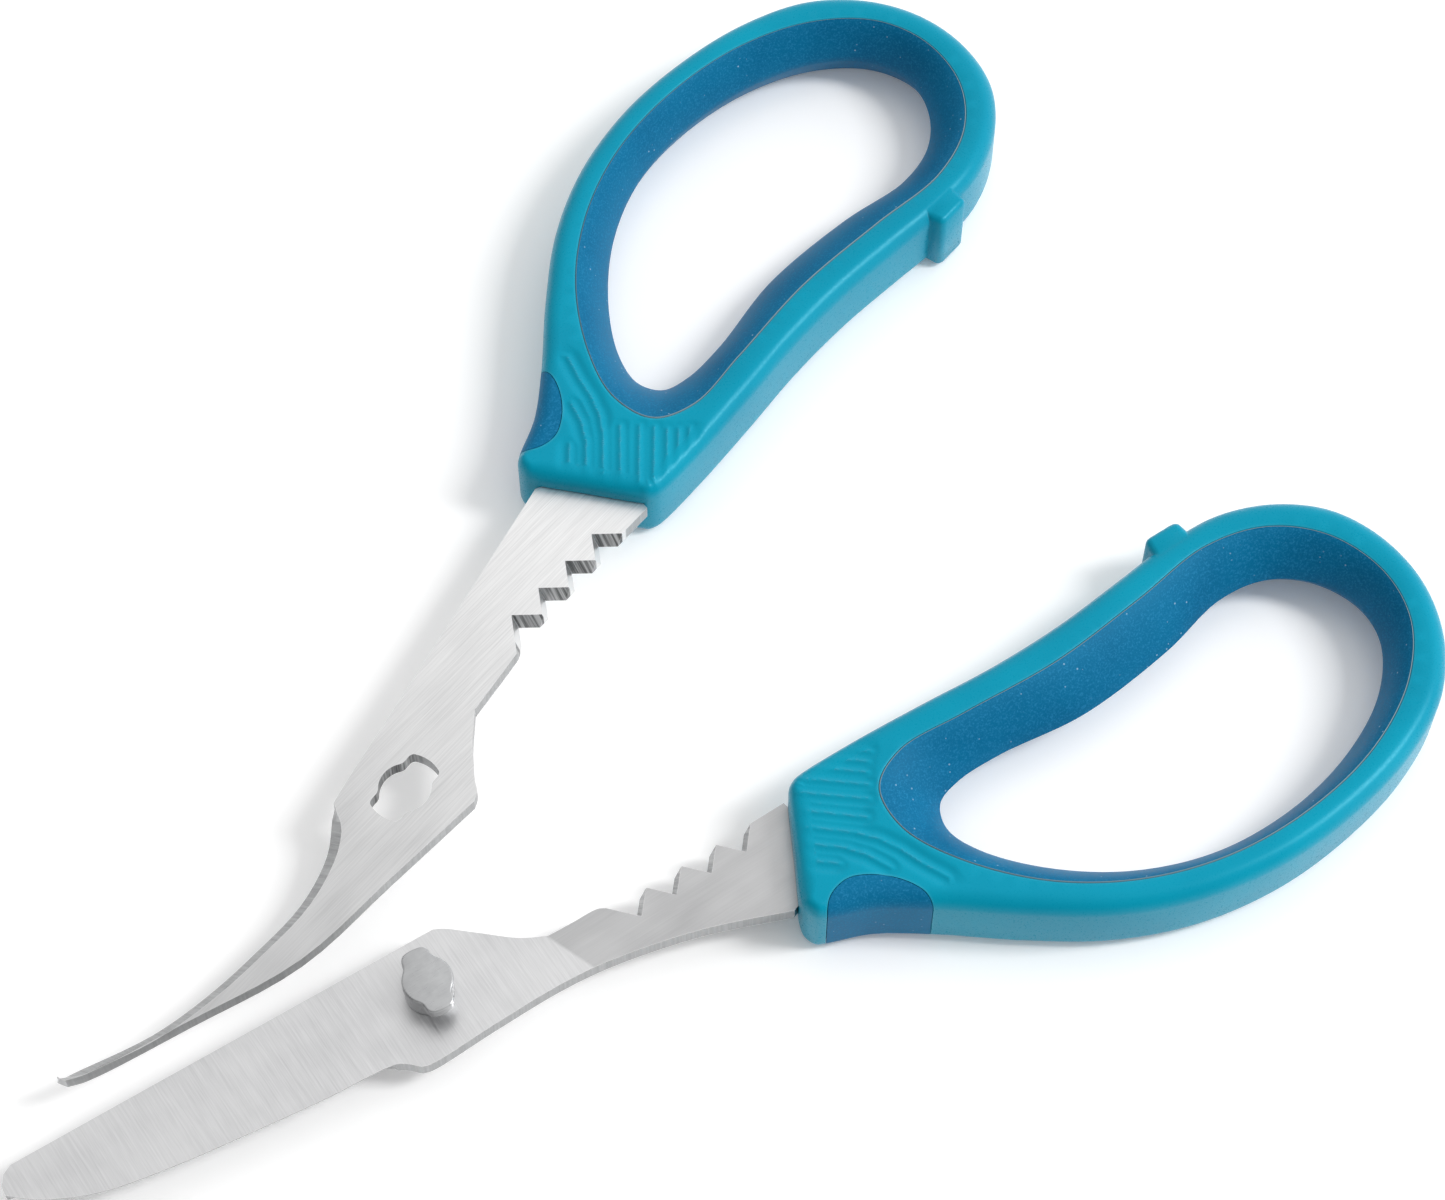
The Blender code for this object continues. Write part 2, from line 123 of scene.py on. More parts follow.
HOLE_OUTLINE = (
    (138.3, -13.6), (130.5, -12.4), (118.6, -14.9), (102.3, -16.4), (88.0, -14.8), (80.6, -14.9),
    (76.4, -16.4), (74.9, -20.2), (76.8, -25.6), (83.2, -33.3), (92.8, -40.4), (104.2, -44.7),
    (117.0, -45.5), (129.6, -43.1), (140.0, -37.9), (145.7, -31.2), (146.8, -24.3), (143.8, -17.8),
)
PAD_OUTLINE = (
    (51.6, -34.0), (50.9, -25.0), (53.0, -21.9), (56.6, -20.9), (60.0, -22.4), (63.0, -25.4),
    (64.6, -28.8), (64.4, -31.6), (62.4, -38.0),
)
# Each blade's outline, and the first and last of its points that are on the cutting edge
STUD_BLADE_OUTLINE = (
    (57.8, -3.6), (28.2, -3.3), (26.4, -2.5), (22.4, -2.3), (18.4, -2.1), (14.9, -0.1),
    (10.4, 3.9), (6.8, 7.1), (5.4, 7.9), (-20.0, 8.9), (-45.0, 9.9), (-61.0, 10.5),
    (-62.5, 9.8), (-63.5, 8.4), (-63.7, 7.0),
    (-60.0, 3.8), (-52.8, 0.2), (-42.5, -2.2), (-31.5, -3.9), (-20.5, -5.4), (-9.8, -6.5),
    (-8.5, -7.2), (-6.8, -8.9), (-5.5, -9.3), (5.0, -9.2), (15.7, -9.3), (23.8, -10.2),
    (37.1, -13.5), (49.5, -18.4), (51.4, -17.6), (56.2, -14.4), (58.6, -16.6), (62.4, -16.4),
    (64.2, -14.4), (64.4, -10.0), (62.6, -7.2), (60.0, -8.0), (58.2, -6.0),
)
STUD_BLADE_EDGE = (14, 20)
KEYHOLE_BLADE_OUTLINE = (
    (58.2, 6.0), (60.0, 8.0), (62.6, 7.2), (64.4, 10.0), (64.2, 14.4), (62.4, 16.4), (58.6, 16.6),
    (56.2, 14.4), (51.4, 17.6), (49.5, 18.6), (30.0, 14.4), (10.0, 10.1), (-6.6, 6.6),
    (-8.9, 5.9), (-14.5, 2.0), (-22.5, -0.4), (-32.6, -0.5), (-41.0, 0.1), (-50.3, 1.9),
    (-62.0, 6.6), (-63.7, 7.1), (-63.2, 5.6), (-60.8, 4.1), (-46.0, -1.3), (-29.2, -6.9),
    (-12.0, -8.1), (4.8, -9.1), (6.3, -8.3), (7.4, -6.9), (11.0, -3.2), (15.9, 0.7), (25.6, 2.0),
    (27.2, 2.3), (28.8, 3.3), (57.8, 3.6),
)
KEYHOLE_BLADE_EDGE = (13, 20)
# Crest of each thumb rib: its middle, length and direction, for the side +1 handle
RIBS = (
    (55.6, 17.0, 3.0, 40.0), (57.2, 15.0, 5.0, 41.0), (58.9, 13.1, 7.5, 41.0), (60.5, 11.1, 9.5, 41.0),
    (62.3, 8.9, 9.5, 40.0), (64.0, 7.4, 8.5, 40.0), (65.7, 6.3, 6.5, 40.0), (67.4, 5.5, 5.0, 40.0),
    (69.4, 5.0, 3.0, 40.0),
    (60.0, 17.9, 3.2, 53.0), (61.8, 20.8, 3.6, 65.0),
    (62.8, 16.9, 3.4, 50.0), (64.7, 19.7, 3.4, 62.0), (66.1, 22.8, 3.4, 69.0), (67.6, 26.4, 4.4, 65.0),
)


# Curves and loops in millimetres, as arrays of points


def between(a, b, start, end, at):
    """The point at a place on the way from a, at start, to b, at end."""
    return (b * (at - start) + a * (end - at)) / (end - start)


def spline(points, steps, corners=()):
    """A closed centripetal Catmull-Rom curve through the points, straight into its corners."""
    points = np.array(points, float)
    count = len(points)
    curve = []
    for i in range(count):
        p = [points[(i + k) % count] for k in (-1, 0, 1, 2)]
        if i in corners:
            p[0] = 2 * p[1] - p[2]
        if (i + 1) % count in corners:
            p[3] = 2 * p[2] - p[1]
        t = [0.0]
        for a, b in zip(p, p[1:]):
            t.append(t[-1] + max(1e-9, math.sqrt(np.linalg.norm(b - a))))
        for step in range(steps):
            at = t[1] + (t[2] - t[1]) * step / steps
            thirds = [between(p[k], p[k + 1], t[k], t[k + 1], at) for k in range(3)]
            halves = [between(thirds[k], thirds[k + 1], t[k], t[k + 2], at) for k in range(2)]
            curve.append(between(*halves, t[1], t[2], at))
    return np.array(curve)


def sharp_corners(points, degrees):
    """The indices of the points where an outline turns by more than this."""
    points = np.array(points, float)
    found = set()
    for i in range(len(points)):
        a, b = points[i] - points[i - 1], points[(i + 1) % len(points)] - points[i]
        turn = abs(math.degrees(math.atan2(a[0] * b[1] - a[1] * b[0], a @ b)))
        if turn > degrees:
            found.add(i)
    return found


def anticlockwise(loop):
    ahead = np.roll(loop, -1, axis=0)
    area = np.sum(loop[:, 0] * ahead[:, 1] - ahead[:, 0] * loop[:, 1])
    return loop if area > 0 else loop[::-1]


def for_side(loop, side):
    """An outline given for side -1, mirrored for side +1, running anticlockwise."""
    return anticlockwise(np.array(loop, float) * (1, -side))


def inward(loop):
    """The unit normal of each point, towards the inside of an anticlockwise loop."""
    ahead, behind = np.roll(loop, -1, axis=0) - loop, loop - np.roll(loop, 1, axis=0)
    along = ahead / np.linalg.norm(ahead, axis=1)[:, None]
    along = along + behind / np.linalg.norm(behind, axis=1)[:, None]
    along /= np.linalg.norm(along, axis=1)[:, None]
    return np.stack([-along[:, 1], along[:, 0]], axis=1)


def inset(loop, distance):
    return loop + inward(loop) * np.reshape(distance, (-1, 1))


def polar(radii, degrees):
    turn = np.radians(degrees)
    return np.stack([radii * np.cos(turn), radii * np.sin(turn)], axis=1)


def keyed(hub, lobe, width, direction, corner, blend, count=288):
    """A round hub crossed by a bar with crowned ends, run together by small fillets."""
    unit = polar(np.ones(count), np.arange(count) * 360.0 / count)
    axis = polar(np.ones(1), np.array([direction]))[0]
    half_width = lobe * math.sin(math.radians(width / 2))
    low, high = np.zeros(count), np.full(count, lobe * 1.5)
    for _ in range(40):
        reach = (low + high) / 2
        spot = unit * reach[:, None]
        bar = np.stack([reach, np.abs(spot @ (-axis[1], axis[0]))], axis=1)
        bar -= (lobe - corner, half_width - corner)
        bar = np.hypot(*np.maximum(bar, 0).T) + np.minimum(bar.max(axis=1), 0) - corner
        share = np.clip(0.5 + 0.5 * (bar - (reach - hub)) / blend, 0, 1)
        gap = bar * (1 - share) + (reach - hub) * share - blend * share * (1 - share)
        low, high = np.where(gap < 0, reach, low), np.where(gap < 0, high, reach)
    return unit * low[:, None]


def inside(points, loop):
    """True for each point inside the loop."""
    x, y = points[:, 0], points[:, 1]
    within = np.zeros(len(points), bool)
    for a, b in zip(loop, np.roll(loop, -1, axis=0)):
        crosses = (a[1] > y) != (b[1] > y)
        with np.errstate(divide="ignore", invalid="ignore"):
            at = (b[0] - a[0]) * (y - a[1]) / (b[1] - a[1]) + a[0]
        within ^= crosses & (x < at)
    return within


def distance_to(points, loop):
    """Distance from each point to the nearest point of a finely spaced loop."""
    nearest = np.full(len(points), np.inf)
    for start in range(0, len(loop), 64):
        gap = points[:, None, :] - loop[None, start:start + 64, :]
        nearest = np.minimum(nearest, np.sqrt((gap ** 2).sum(axis=2)).min(axis=1))
    return nearest


# Meshes


def new_piece(name, points, faces, material=None):
    mesh = bpy.data.meshes.new(name)
    mesh.from_pydata([tuple(p) for p in points], [], [tuple(f) for f in faces])
    mesh.validate()
    obj = bpy.data.objects.new(name, mesh)
    bpy.context.scene.collection.objects.link(obj)
    if material:
        mesh.materials.append(material)
    return obj


def rings_to_faces(count, levels, start=0):
    i = np.arange(count)
    j = (i + 1) % count
    low = start + np.arange(levels - 1)[:, None] * count
    return np.stack([low + i, low + j, low + count + j, low + count + i], axis=2).reshape(-1, 4)


def stack(levels):
    """Points and faces of a solid with flat ends from (height, loop) levels, lowest first."""
    count = len(levels[0][1])
    points = np.concatenate([np.column_stack([loop, np.full(count, z)]) for z, loop in levels])
    faces = [list(f) for f in rings_to_faces(count, len(levels))]
    faces.insert(0, list(range(count))[::-1])
    faces.append(list(range((len(levels) - 1) * count, len(levels) * count)))
    return points, faces


def apply_modifiers(obj):
    """Makes the piece's modifiers part of its mesh."""
    evaluated = obj.evaluated_get(bpy.context.evaluated_depsgraph_get())
    mesh = bpy.data.meshes.new_from_object(evaluated)
    obj.modifiers.clear()
    old, obj.data = obj.data, mesh
    bpy.data.meshes.remove(old)
    mesh.name = obj.name


def boolean(target, operation, *others):
    """Joins, cuts or intersects the target with the others, which are used up."""
    for other in others:
        modifier = target.modifiers.new(operation, "BOOLEAN")
        modifier.operation = operation
        modifier.solver = "EXACT"
        modifier.object = other
    bpy.context.view_layer.update()
    apply_modifiers(target)
    for other in others:
        bpy.data.objects.remove(other)


def add(tree, kind, inputs=None, **settings):
    """Adds one node with its settings, and sets or links its inputs."""
    made = tree.nodes.new(kind)
    for name, value in settings.items():
        setattr(made, name, value)
    for key, value in (inputs or {}).items():
        if isinstance(value, bpy.types.NodeSocket):
            tree.links.new(value, made.inputs[key])
        else:
            made.inputs[key].default_value = value
    return made


def new_geometry_tree(name, inputs):
    """A Geometry Nodes tree with one geometry in and out and these named inputs."""
    tree = bpy.data.node_groups.new(name, "GeometryNodeTree")
    tree.interface.new_socket("Geometry", in_out="INPUT", socket_type="NodeSocketGeometry")
    for label, (kind, _) in inputs.items():
        tree.interface.new_socket(label, in_out="INPUT", socket_type=f"NodeSocket{kind}")
    tree.interface.new_socket("Geometry", in_out="OUTPUT", socket_type="NodeSocketGeometry")
    return tree, tree.nodes.new("NodeGroupInput").outputs


def run_geometry_tree(obj, tree, inputs):
    """Runs the tree on the piece and leaves it a plain mesh."""
    modifier = obj.modifiers.new(tree.name, "NODES")
    modifier.node_group = tree
    for item in tree.interface.items_tree:
        if item.in_out == "INPUT" and item.name in inputs:
            modifier[item.identifier] = inputs[item.name][1]
    bpy.context.view_layer.update()
    apply_modifiers(obj)


class Half:
    """One half of the shears: where its frame lies, and which way its handle points."""

    def __init__(self, body, prefix, side, axis, turn, blade_low):
        self.body, self.prefix, self.side = body, prefix, side
        self.axis, self.turn, self.blade_low = axis, turn, blade_low

    def finish(self, obj, slot, sharp_degrees, *nodes):
        """Moves a piece from the half's frame to its place, keeps the half's own x, y, z in
        millimetres as an attribute for its finish, and lets it ride on its body."""
        mesh = obj.data
        flat = np.empty(len(mesh.vertices) * 3, np.float32)
        mesh.vertices.foreach_get("co", flat)
        own = flat.reshape(-1, 3).astype(float)
        place = mesh.attributes.new("half_place", "FLOAT_VECTOR", "POINT")
        place.data.foreach_set("vector", own.astype(np.float32).ravel())
        c, s = math.cos(self.turn), math.sin(self.turn)
        moved = own @ np.array([[c, s, 0], [-s, c, 0], [0, 0, 1]]) * MM
        moved += (self.axis[0], self.axis[1], 0.0)
        mesh.vertices.foreach_set("co", moved.astype(np.float32).ravel())
        mesh.shade_smooth()
        mesh.set_sharp_from_angle(angle=math.radians(sharp_degrees))
        mesh.update()
        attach(obj, self.body)
        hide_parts(*nodes)


# Finishes


def linear(code):
    """sRGB hex to linear colour."""
    parts = [int(code[i:i + 2], 16) / 255 for i in (1, 3, 5)]
    return tuple(p / 12.92 if p <= 0.04045 else ((p + 0.055) / 1.055) ** 2.4 for p in parts) + (1.0,)


def new_finish(name):
    """A material with its shader, its output and the half's own millimetres as coordinates."""
    material = bpy.data.materials.new(name)
    material.use_nodes = True
    tree = material.node_tree
    shader = tree.nodes["Principled BSDF"]
    place = add(tree, "ShaderNodeAttribute", attribute_name="half_place").outputs["Vector"]
    return material, tree, shader, place


def stretched_noise(tree, place, scale, detail=2.0, roughness=0.5, turn=0.0):
    """Noise whose grain is 1/scale millimetres along each axis, after turning the axes."""
    mapped = add(tree, "ShaderNodeMapping",
                 {"Vector": place, "Rotation": (0.0, 0.0, math.radians(turn)), "Scale": scale})
    made = add(tree, "ShaderNodeTexNoise",
               {"Vector": mapped.outputs[0], "Scale": 1.0, "Detail": detail, "Roughness": roughness})
    return made.outputs["Fac"]


def layered(tree, base, top, mask, off=0.0, on=1.0, amount=1.0):
    """Lays a colour over another, by this amount, where the mask has gone from off to on."""
    share = add(tree, "ShaderNodeMapRange",
                {"Value": mask, "From Min": off, "From Max": on, "To Max": amount})
    made = add(tree, "ShaderNodeMix", {0: share.outputs[0], 6: base, 7: top}, data_type="RGBA")
    return made.outputs[2]


def textured(tree, shader, colour, grain, roughness, strength, height):
    """Gives the surface its colour, and a grain that both roughens it and stands out from it."""
    tree.links.new(colour, shader.inputs["Base Color"])
    rough = add(tree, "ShaderNodeMapRange", {"Value": grain, "From Min": 0.3, "From Max": 0.7,
                                             "To Min": roughness[0], "To Max": roughness[1]})
    tree.links.new(rough.outputs[0], shader.inputs["Roughness"])
    bump = add(tree, "ShaderNodeBump", {"Height": grain, "Strength": strength, "Distance": height})
    tree.links.new(bump.outputs[0], shader.inputs["Normal"])


def edge_highlight_mask(tree, radius):
    """1 on outer edges within this many metres, 0 on flats: where painted highlights are laid."""
    rounded = add(tree, "ShaderNodeBevel", {"Radius": radius}, samples=4)
    plain = add(tree, "ShaderNodeNewGeometry")
    same = add(tree, "ShaderNodeVectorMath", {0: rounded.outputs[0], 1: plain.outputs["Normal"]},
               operation="DOT_PRODUCT")
    highlit = add(tree, "ShaderNodeMapRange",
               {"Value": same.outputs["Value"], "From Min": 0.995, "From Max": 0.90})
    return highlit.outputs[0]


def moulded_polypropylene():
    """Hard teal plastic from a finely spark-eroded mould: satin, with a frosted grain."""
    material, tree, shader, place = new_finish("moulded_polypropylene")
    cloud = stretched_noise(tree, place, (0.05, 0.05, 0.05))
    frost = stretched_noise(tree, place, (3.5, 3.5, 3.5), 3.0, 0.6)
    colour = layered(tree, linear("#008AA7"), linear("#0095B1"), cloud, 0.3, 0.7)
    # painted highlight: pale teal laid on the rounded outer edges
    colour = layered(tree, colour, linear("#8FD3DF"), edge_highlight_mask(tree, 0.0006), amount=0.10)
    textured(tree, shader, colour, frost, (0.24, 0.38), 0.30, 0.00006)
    shader.inputs["IOR"].default_value = 1.49
    shader.inputs["Specular IOR Level"].default_value = 0.32
    shader.inputs["Specular Tint"].default_value = (0.3, 0.85, 1.0, 1.0)
    return material


def soft_touch_rubber():
    """Blue thermoplastic rubber moulded over the plastic: matt, with pale specks that are partly dust
    and partly painted glints, and soft to the eye.
    """
    material, tree, shader, place = new_finish("soft_touch_rubber")
    cloud = stretched_noise(tree, place, (0.08, 0.08, 0.08))
    grain = stretched_noise(tree, place, (3.2, 3.2, 3.2), 3.0, 0.7)
    colour = layered(tree, linear("#006089"), linear("#006A93"), cloud, 0.3, 0.7)
    colour = layered(tree, colour, linear("#2C88B8"), grain, 0.48, 0.68, 0.55)
    # pale specks: dust, and painted glints of the rubber's frosted sheen
    specks = add(tree, "ShaderNodeTexVoronoi", {"Vector": place, "Scale": 0.7, "Randomness": 1.0})
    dust_specks_and_glints = add(tree, "ShaderNodeMapRange", {"Value": specks.outputs["Distance"], "From Min": 0.12,
                                            "From Max": 0.06, "To Max": 0.6})
    drift = stretched_noise(tree, place, (0.22, 0.22, 0.22))
    patches = add(tree, "ShaderNodeMapRange", {"Value": drift, "From Min": 0.50, "From Max": 0.60})
    dust_and_glints = add(tree, "ShaderNodeMath", {0: dust_specks_and_glints.outputs[0], 1: patches.outputs[0]},
                operation="MULTIPLY")
    colour = layered(tree, colour, linear("#A9CBE0"), dust_and_glints.outputs[0])
    rim = add(tree, "ShaderNodeAttribute", attribute_name="seam_rim")
    colour = layered(tree, colour, linear("#8D9C9C"), rim.outputs["Fac"], 0.2, 0.9, 0.75)
    textured(tree, shader, colour, grain, (0.42, 0.6), 0.15, 0.0001)
    shader.inputs["IOR"].default_value = 1.5
    shader.inputs["Specular IOR Level"].default_value = 0.25
    shader.inputs["Specular Tint"].default_value = (0.3, 0.7, 1.0, 1.0)
    return material


def notch_masks(tree, axes):
    """1 along the row of notches, where the walls get painted light, and 1 there on the flank of each
    notch that faces the handle, which gets painted shade.
    """
    row_middle = FIRST_NOTCH_AT + (NOTCH_COUNT - 1) * NOTCH_SPACING / 2
    row_end = NOTCH_COUNT * NOTCH_SPACING / 2 + 1.0
    off_line = add(tree, "ShaderNodeMath", {0: axes.outputs["Y"]}, operation="ABSOLUTE")
    near = add(tree, "ShaderNodeMapRange", {"Value": off_line.outputs[0],
                                            "From Min": NOTCH_REACH + 0.5, "From Max": NOTCH_REACH})
    along = add(tree, "ShaderNodeMath", {0: axes.outputs["X"], 1: row_middle}, operation="SUBTRACT")
    along = add(tree, "ShaderNodeMath", {0: along.outputs[0]}, operation="ABSOLUTE")
    in_row = add(tree, "ShaderNodeMapRange", {"Value": along.outputs[0], "From Min": row_end,
                                              "From Max": row_end - 0.3})
    notch = add(tree, "ShaderNodeMath", {0: near.outputs[0], 1: in_row.outputs[0]},
                operation="MULTIPLY")
    count = add(tree, "ShaderNodeMath", {0: axes.outputs["X"], 1: 1 / NOTCH_SPACING,
                                         2: 0.5 - FIRST_NOTCH_AT / NOTCH_SPACING},
                operation="MULTIPLY_ADD")
    share = add(tree, "ShaderNodeMath", {0: count.outputs[0]}, operation="FRACT")
    flank = add(tree, "ShaderNodeMath", {0: share.outputs[0], 1: 0.5}, operation="GREATER_THAN")
    shaded = add(tree, "ShaderNodeMath", {0: notch.outputs[0], 1: flank.outputs[0]},
               operation="MULTIPLY")
    return notch.outputs[0], shaded.outputs[0]


def ground_blade_steel(name, lengthwise_turn, cross_ground, tip_end_shade, collar_end_shade, wall_shade):
    """Stamped stainless sheet, belt-ground to a satin of fine straight lines, with duller cut
    walls and sheared notches. Painted light and painted shade fall on the notches' flanks, painted
    shade on the pivot opening's walls, and a painted shade runs evenly from the tip to the collar.
    The stud blade is ground again crosswise from its pivot to its tip, and there its painted shade
    steps at the edge of that grinding."""
    material, tree, shader, place = new_finish(name)
    tip_shade, collar_shade = linear(tip_end_shade), linear(collar_end_shade)
    axes = add(tree, "ShaderNodeSeparateXYZ", {0: place})
    lines = stretched_noise(tree, place, (0.10, 5.0, 5.0), 4.0, 0.65, lengthwise_turn)
    # painted shade: the steel goes from the tip's shade to the collar's shade along X
    base = layered(tree, tip_shade, collar_shade, axes.outputs["X"], -60.0, 45.0)
    if cross_ground:
        across = stretched_noise(tree, place, (4.0, 0.12, 4.0), 4.0, 0.65, 8.0)
        lean = add(tree, "ShaderNodeMath", {0: axes.outputs["Y"], 1: 0.375, 2: axes.outputs["X"]},
                   operation="MULTIPLY_ADD")
        ground = add(tree, "ShaderNodeMapRange",
                     {"Value": lean.outputs[0], "From Min": 17.7, "From Max": 17.2}).outputs[0]
        lines = add(tree, "ShaderNodeMix", {0: ground, 2: lines, 3: across}).outputs[0]
        # on the stud blade the painted shade steps instead at the edge of the crosswise grinding
        base = layered(tree, collar_shade, tip_shade, ground)
    cloud = stretched_noise(tree, place, (0.06, 0.12, 0.1))
    base = layered(tree, base, linear("#808182"), lines, 0.68, 0.32, 0.26)
    base = layered(tree, base, linear("#F4F4F4"), cloud, 0.35, 0.65, 0.25)

    # Cut walls, the notches' flanks and the pivot's opening, each streaked through the sheet; the
    # notches' walls get painted light, and painted shade darkens the flank of each notch that faces
    # the handle and the opening's walls
    streak = stretched_noise(tree, place, (3.4, 0.15, 0.05), 2.0, 0.6)
    # painted shade: the dark streaked colour for the shaded flanks and the pivot opening's walls
    shaded = layered(tree, linear(wall_shade), linear("#A8A9AA"), streak, 0.38, 0.62)
    cut = layered(tree, linear("#A3A4A5"), linear("#B3B4B5"), streak, 0.32, 0.68)
    notch, shaded_flank = notch_masks(tree, axes)
    level = add(tree, "ShaderNodeVectorMath", {0: place, 1: (1.0, 1.0, 0.0)}, operation="MULTIPLY")
    from_axis = add(tree, "ShaderNodeVectorMath", {0: level.outputs[0]}, operation="LENGTH")
    # painted light on the walls along the notches, then painted shade on each flank that faces the
    # handle and on the opening's walls
    cut = layered(tree, cut, linear("#E6E6E6"), notch)
    cut = layered(tree, cut, shaded, shaded_flank)
    cut = layered(tree, cut, shaded, from_axis.outputs["Value"], OPENING_REACH + 0.2, OPENING_REACH)

    # The bevel leans a little and a wall stands up, so the slope tells them from the flat face
    plain = add(tree, "ShaderNodeNewGeometry")
    up = add(tree, "ShaderNodeSeparateXYZ", {0: plain.outputs["True Normal"]})
    slope = add(tree, "ShaderNodeMath", {0: up.outputs["Z"]}, operation="ABSOLUTE").outputs[0]
    bevel = layered(tree, linear("#868788"), linear("#A3A4A5"), streak, 0.3, 0.7)
    base = layered(tree, base, bevel, slope, 0.92, 0.88)
    limit = add(tree, "ShaderNodeMapRange", {"Value": notch, "To Min": 0.45, "To Max": 0.9})
    wall = add(tree, "ShaderNodeMath", {0: slope, 1: limit.outputs[0]}, operation="LESS_THAN")
    base = layered(tree, base, cut, wall.outputs[0])
    # painted highlight: a pale bright line on the blade's outer edges
    base = layered(tree, base, linear("#F0F0F0"), edge_highlight_mask(tree, 0.00018), amount=0.5)
    textured(tree, shader, base, lines, (0.30, 0.46), 0.12, 0.00005)
    shader.inputs["Metallic"].default_value = 1.0
    return material


def turned_stud_steel():
    """Turned and milled stainless bar: a satin face with faint mill marks, and painted highlights on
    its edges.
    """
    material, tree, shader, place = new_finish("turned_stud_steel")
    marks = stretched_noise(tree, place, (0.5, 6.0, 0.4), 3.0, 0.6, 30.0)
    blotch = stretched_noise(tree, place, (0.6, 0.6, 0.6))
    base = layered(tree, linear("#B9BABB"), linear("#C1C2C3"), marks, 0.3, 0.7)
    base = layered(tree, base, linear("#A2A3A5"), blotch, 0.4, 0.7, 0.3)
    # painted highlight: a pale bright line on the stud's outer edges
    base = layered(tree, base, linear("#F2F2F2"), edge_highlight_mask(tree, 0.0002), amount=0.6)
    textured(tree, shader, base, marks, (0.26, 0.40), 0.08, 0.00005)
    shader.inputs["Metallic"].default_value = 1.0
    return material


# Pieces of one half


def rounded_levels(loop, top, radius, steps):
    """(height, loop) levels of a slab's outer wall with both edges rounded over, by less where
    the outline turns too tightly for the full radius."""
    reach = np.linalg.norm(np.roll(loop, -1, axis=0) - np.roll(loop, 1, axis=0), axis=1) / 2
    a, b = loop - np.roll(loop, 1, axis=0), np.roll(loop, -1, axis=0) - loop
    turn = np.arctan2(a[:, 0] * b[:, 1] - a[:, 1] * b[:, 0], (a * b).sum(axis=1))
    room = np.where(turn > 1e-6, np.minimum(radius, 0.7 * reach / np.maximum(turn, 1e-6)), radius)
    for _ in range(8):
        room = np.minimum(room, np.minimum(np.roll(room, 1), np.roll(room, -1)))
    for _ in range(24):
        room = (np.roll(room, 1) + room + np.roll(room, -1)) / 3
    levels = []
    for k in range(steps + 1):
        turn = math.pi / 2 * k / steps
        levels.append((radius * (1 - math.cos(turn)), inset(loop, room * (1 - math.sin(turn)))))
    return levels + [(top - z, ring) for z, ring in reversed(levels)]


def collar_grid(side):
    """Places for the fine points of the collar, where the thumb ribs are, and for the rest."""
    spots = []
    # Each step, with the range of x and of y that it covers
    for step, x0, x1, y0, y1 in ((0.26, 48.0, 74.0, 2.5, 29.0), (2.5, 48.0, 157.0, 1.0, 55.0)):
        x, y = np.meshgrid(np.arange(x0, x1, step), np.arange(y0, y1, step))
        grid = np.column_stack([x.ravel(), y.ravel()])
        if step > 1:
            grid = grid[(grid[:, 0] > 75.0) | (grid[:, 1] > 30.0)]
        spots.append(grid * (1, side))
    return np.concatenate(spots)


def handle_slab(side, seam):
    """The whole handle round the seam: walls, rounded edges and two faces of fine triangles."""
    outline = for_side(spline(HANDLE_OUTLINE, 14), side)
    levels = rounded_levels(outline, HANDLE_TOP, EDGE_ROUND, 8)
    rim = inset(levels[-1][1], 0.12)
    levels = [(0.0, rim)] + levels + [(HANDLE_TOP, rim)]
    count, around = len(outline), len(seam)
    walls = [np.column_stack([ring, np.full(count, z)]) for z, ring in levels]
    rows = ((0.0, -SEAM_ROUND), (0.05, -0.05), (SEAM_ROUND, 0.0))
    rows = rows + tuple((HANDLE_TOP - z, out) for z, out in reversed(rows))
    inner = [np.column_stack([inset(seam, out), np.full(around, z)]) for z, out in rows]
    points = np.concatenate(walls + inner)
    start = len(walls) * count
    faces = [list(f) for f in rings_to_faces(count, len(walls))]
    faces += [list(f[::-1]) for f in rings_to_faces(around, len(inner), start)]
    lip = inset(seam, -SEAM_ROUND)
    grid = collar_grid(side)
    grid = grid[inside(grid, rim) & ~inside(grid, lip)]
    grid = grid[(distance_to(grid, rim) > 0.22) & (distance_to(grid, lip) > 0.22)]
    flat = np.concatenate([rim, lip, grid])
    edges = [(i, (i + 1) % count) for i in range(count)]
    edges += [(count + i, count + (i + 1) % around) for i in range(around)]
    made = delaunay_2d_cdt([Vector(p) for p in flat], edges, [], 0, 1e-6)
    triangles = np.array([list(f) for f in made[2]])
    middles = flat[triangles].mean(axis=1)
    triangles = triangles[inside(middles, rim) & ~inside(middles, lip)]
    extra = len(points)
    top_at = np.concatenate([(len(walls) - 1) * count + np.arange(count),
                             start + (len(inner) - 1) * around + np.arange(around),
                             extra + np.arange(len(grid))])
    low_at = np.concatenate([np.arange(count), start + np.arange(around),
                             extra + len(grid) + np.arange(len(grid))])
    points = np.concatenate([points, np.column_stack([grid, np.full(len(grid), HANDLE_TOP)]),
                             np.column_stack([grid, np.zeros(len(grid))])])
    faces += [list(f) for f in top_at[triangles]]
    faces += [list(f[::-1]) for f in low_at[triangles]]
    return points, faces


def prism(name, loop, low, high):
    return new_piece(name, *stack([(low, loop), (high, loop)]))


def closing_tab(side):
    """The stop on the facing side of the handle, with soft corners and a sloping flank."""
    half, face, middle = 3.2, 0.15, 127.9
    profile = [(half + 0.6, 5.2), (half + 0.15, 2.6), (half, face + 1.2), (half - 0.12, face + 0.62),
               (half - 0.4, face + 0.3), (half - 0.8, face + 0.08), (half - 1.3, face)]
    profile += [(-x, y) for x, y in reversed(profile)]
    loop = for_side([(middle + x, -y) for x, y in profile], side)
    levels = []
    for z, distance in ((0.35, 1.0), (0.5, 0.6), (0.8, 0.25), (1.3, 0.0)):
        levels.append((z, inset(loop, distance)))
    levels += [(HANDLE_TOP - z, ring) for z, ring in reversed(levels)]
    return new_piece("closing_tab", *stack(levels))


